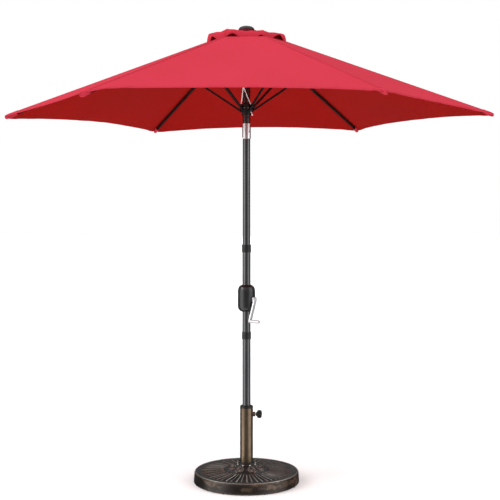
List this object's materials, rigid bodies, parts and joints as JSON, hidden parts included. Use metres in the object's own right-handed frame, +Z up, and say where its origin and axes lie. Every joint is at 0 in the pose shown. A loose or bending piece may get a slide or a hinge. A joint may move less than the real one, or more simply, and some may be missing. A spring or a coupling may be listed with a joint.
{
  "type": "patio umbrella with base",
  "caption": "Centre-pole patio umbrella with a vented six-panel fabric canopy, crank lift, push-button tilt and a heavy round base with a clamp knob.",
  "frame": {"origin": "on the ground at the pole's axis", "axes": "+Z up along the pole, +X along one rib, on the side of the base's clamp knob; ribs every 60 degrees"},
  "size_m": [2.5456, 2.205, 2.37],
  "materials": {
    "bronze_casting": "antique bronze finish, satin",
    "bronze_tube": "antique bronze powder coat",
    "black_plastic": "moulded black plastic",
    "pole_grey": "dark grey metallic powder coat",
    "rib_black": "black powder coat",
    "tilt_silver": "satin",
    "crank_silver": "silver paint",
    "zinc_steel": "zinc plated",
    "canopy_red": "woven polyester",
    "cord_white": "braided",
    "rubber": "matte"
  },
  "bodies": {
    "base": {"base_plate": "bronze_casting", "base_feet": "rubber", "base_tube": "bronze_tube", "tube_collar": "black_plastic", "base_bolts": "zinc_steel", "clamp_pad": "zinc_steel"},
    "clamp_knob": {"clamp_knob": "black_plastic", "clamp_screw": "zinc_steel"},
    "main_pole": {"lower_pole": "pole_grey", "ring_low": "black_plastic", "crank_pole": "pole_grey", "ring_high": "black_plastic", "mid_pole": "pole_grey", "housing_front": "black_plastic", "housing_rear": "black_plastic", "housing_screws": "zinc_steel", "tilt_tongue": "tilt_silver", "lift_cord_lower": "cord_white"},
    "crank": {"crank_arm": "crank_silver", "crank_spool": "zinc_steel"},
    "crank_grip": {"crank_grip": "crank_silver"},
    "upper_pole": {"upper_tube": "pole_grey", "tilt_collar": "tilt_silver", "tilt_fork": "tilt_silver", "tilt_pin": "zinc_steel", "lift_cord": "cord_white", "top_hub": "black_plastic", "hub_pins": "zinc_steel", "finial": "black_plastic", "canopy": "canopy_red", "vent_canopy": "canopy_red"},
    "tilt_button": {"tilt_button": "black_plastic"},
    "lift_pulley": {"lift_pulley": "black_plastic"},
    "runner": {"runner_body": "black_plastic", "runner_rivets": "zinc_steel", "cord_tail": "cord_white"},
    "rib_arm_1": {"rib_1": "rib_black", "rib_tip_1": "black_plastic", "rib_bracket_1": "black_plastic"},
    "strut_arm_1": {"strut_1": "rib_black"},
    "rib_arm_2": {"rib_2": "rib_black", "rib_tip_2": "black_plastic", "rib_bracket_2": "black_plastic"},
    "strut_arm_2": {"strut_2": "rib_black"},
    "rib_arm_3": {"rib_3": "rib_black", "rib_tip_3": "black_plastic", "rib_bracket_3": "black_plastic"},
    "strut_arm_3": {"strut_3": "rib_black"},
    "rib_arm_4": {"rib_4": "rib_black", "rib_tip_4": "black_plastic", "rib_bracket_4": "black_plastic"},
    "strut_arm_4": {"strut_4": "rib_black"},
    "rib_arm_5": {"rib_5": "rib_black", "rib_tip_5": "black_plastic", "rib_bracket_5": "black_plastic"},
    "strut_arm_5": {"strut_5": "rib_black"},
    "rib_arm_6": {"rib_6": "rib_black", "rib_tip_6": "black_plastic", "rib_bracket_6": "black_plastic"},
    "strut_arm_6": {"strut_6": "rib_black"}
  },
  "joints": [
    {"name": "knob_turn", "type": "hinge", "parent": "base", "child": "clamp_knob", "pos_m": [0.05, 0, 0.35], "axis": [1, 0, 0], "range_deg": [0, 720]},
    {"name": "pole_swivel", "type": "hinge", "parent": "base", "child": "main_pole", "pos_m": [0, 0, 0.2], "axis": [0, 0, 1], "continuous": true},
    {"name": "crank_turn", "type": "hinge", "parent": "main_pole", "child": "crank", "pos_m": [0, 0, 0.948], "axis": [0.7986, -0.6018, 0], "range_deg": [-3600, 0], "deforming": ["canopy", "vent_canopy", "lift_cord"]},
    {"name": "grip_spin", "type": "hinge", "parent": "crank", "child": "crank_grip", "pos_m": [0.04708, -0.08708, 0.84064], "axis": [0.7986, -0.6018, 0], "continuous": true},
    {"name": "tilt", "type": "hinge", "parent": "main_pole", "child": "upper_pole", "pos_m": [0, 0, 1.793], "axis": [-0.6018, -0.7986, 0], "range_deg": [0, 30]},
    {"name": "tilt_button_press", "type": "slide", "parent": "upper_pole", "child": "tilt_button", "axis": [-0.7986, 0.6018, 0], "range_m": [0, 0.0025], "stiffness_N_per_m": 300, "springref_m": -0.002},
    {"name": "pulley_spin", "type": "hinge", "parent": "upper_pole", "child": "lift_pulley", "pos_m": [-0.00832, -0.01188, 2.062], "axis": [0.8192, -0.5736, 0], "range_deg": [-2360, 0.5]},
    {"name": "runner_slide", "type": "slide", "parent": "upper_pole", "child": "runner", "axis": [0, 0, 1], "range_m": [-0.47236, 0.0002]},
    {"name": "rib_fold_1", "type": "hinge", "parent": "upper_pole", "child": "rib_arm_1", "pos_m": [0.03, 0, 2.3384], "axis": [0, 1, 0], "range_deg": [-0.05, 67.56]},
    {"name": "strut_fold_1", "type": "hinge", "parent": "rib_arm_1", "child": "strut_arm_1", "pos_m": [0.41859, 0, 2.18652], "axis": [0, -1, 0], "range_deg": [-0.05, 122.98]},
    {"name": "rib_fold_2", "type": "hinge", "parent": "upper_pole", "child": "rib_arm_2", "pos_m": [0.015, 0.02598, 2.3384], "axis": [-0.866, 0.5, 0], "range_deg": [-0.05, 67.56]},
    {"name": "strut_fold_2", "type": "hinge", "parent": "rib_arm_2", "child": "strut_arm_2", "pos_m": [0.2093, 0.36251, 2.18652], "axis": [0.866, -0.5, 0], "range_deg": [-0.05, 122.98]},
    {"name": "rib_fold_3", "type": "hinge", "parent": "upper_pole", "child": "rib_arm_3", "pos_m": [-0.015, 0.02598, 2.3384], "axis": [-0.866, -0.5, 0], "range_deg": [-0.05, 67.56]},
    {"name": "strut_fold_3", "type": "hinge", "parent": "rib_arm_3", "child": "strut_arm_3", "pos_m": [-0.2093, 0.36251, 2.18652], "axis": [0.866, 0.5, 0], "range_deg": [-0.05, 122.98]},
    {"name": "rib_fold_4", "type": "hinge", "parent": "upper_pole", "child": "rib_arm_4", "pos_m": [-0.03, 0, 2.3384], "axis": [0, -1, 0], "range_deg": [-0.05, 67.56]},
    {"name": "strut_fold_4", "type": "hinge", "parent": "rib_arm_4", "child": "strut_arm_4", "pos_m": [-0.41859, 0, 2.18652], "axis": [0, 1, 0], "range_deg": [-0.05, 122.98]},
    {"name": "rib_fold_5", "type": "hinge", "parent": "upper_pole", "child": "rib_arm_5", "pos_m": [-0.015, -0.02598, 2.3384], "axis": [0.866, -0.5, 0], "range_deg": [-0.05, 67.56]},
    {"name": "strut_fold_5", "type": "hinge", "parent": "rib_arm_5", "child": "strut_arm_5", "pos_m": [-0.2093, -0.36251, 2.18652], "axis": [-0.866, 0.5, 0], "range_deg": [-0.05, 122.98]},
    {"name": "rib_fold_6", "type": "hinge", "parent": "upper_pole", "child": "rib_arm_6", "pos_m": [0.015, -0.02598, 2.3384], "axis": [0.866, 0.5, 0], "range_deg": [-0.05, 67.56]},
    {"name": "strut_fold_6", "type": "hinge", "parent": "rib_arm_6", "child": "strut_arm_6", "pos_m": [0.2093, -0.36251, 2.18652], "axis": [-0.866, -0.5, 0], "range_deg": [-0.05, 122.98]}
  ],
  "couplings": [
    {"joint": "runner_slide", "follows": "crank_turn", "m_per_rad": 0.0075147},
    {"joint": "pulley_spin", "follows": "crank_turn", "ratio": 0.65345},
    {"joint": "rib_fold_1", "follows": "crank_turn", "ratio": -0.018752},
    {"joint": "strut_fold_1", "follows": "crank_turn", "ratio": -0.034146},
    {"joint": "rib_fold_2", "follows": "crank_turn", "ratio": -0.018752},
    {"joint": "strut_fold_2", "follows": "crank_turn", "ratio": -0.034146},
    {"joint": "rib_fold_3", "follows": "crank_turn", "ratio": -0.018752},
    {"joint": "strut_fold_3", "follows": "crank_turn", "ratio": -0.034146},
    {"joint": "rib_fold_4", "follows": "crank_turn", "ratio": -0.018752},
    {"joint": "strut_fold_4", "follows": "crank_turn", "ratio": -0.034146},
    {"joint": "rib_fold_5", "follows": "crank_turn", "ratio": -0.018752},
    {"joint": "strut_fold_5", "follows": "crank_turn", "ratio": -0.034146},
    {"joint": "rib_fold_6", "follows": "crank_turn", "ratio": -0.018752},
    {"joint": "strut_fold_6", "follows": "crank_turn", "ratio": -0.034146}
  ]
}
